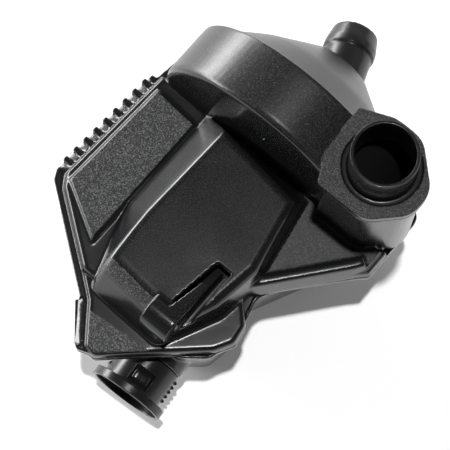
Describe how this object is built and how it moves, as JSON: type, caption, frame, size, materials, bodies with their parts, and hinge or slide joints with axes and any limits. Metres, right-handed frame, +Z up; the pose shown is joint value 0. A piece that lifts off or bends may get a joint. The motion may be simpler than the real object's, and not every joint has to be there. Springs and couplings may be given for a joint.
{
  "type": "crankcase ventilation valve",
  "caption": "Moulded crankcase vent valve with oil separator box, round diaphragm regulator drum, inlet spigot, leaning barbed outlet nipple and quick-connect drain.",
  "frame": {"origin": "on the flat back, under the regulator's axis, in the plane of the drum's floor", "axes": "+Z up from the flat back, +Y along the regulator's axis towards the hose nipple, +X towards the inlet duct"},
  "size_m": [0.0981, 0.1362, 0.09],
  "materials": {
    "housing_plastic": "black glass-filled moulding, spark-eroded panels between smooth edges",
    "cap_plastic": "black satin moulding",
    "collar_plastic": "black satin moulding",
    "valve_plastic": "natural plastic",
    "seal_rubber": "matt black rubber",
    "spring_steel": "drawn steel wire"
  },
  "bodies": {
    "housing": {"front_housing": "housing_plastic", "rear_housing": "housing_plastic", "inlet_cover": "housing_plastic", "diaphragm_cap": "cap_plastic", "drain_collar": "collar_plastic", "separator_baffle": "housing_plastic", "clamp_ring": "cap_plastic", "diaphragm": "seal_rubber", "regulator_spring": "spring_steel", "drain_seal": "seal_rubber"},
    "valve": {"diaphragm_plate": "valve_plastic", "backing_plate": "valve_plastic"}
  },
  "joints": [
    {"name": "plate_lift", "type": "slide", "parent": "housing", "child": "valve", "axis": [0, 1, 0], "range_m": [0, 0.005], "stiffness_N_per_m": 250, "springref_m": -0.004, "deforming": ["diaphragm", "regulator_spring"]}
  ]
}
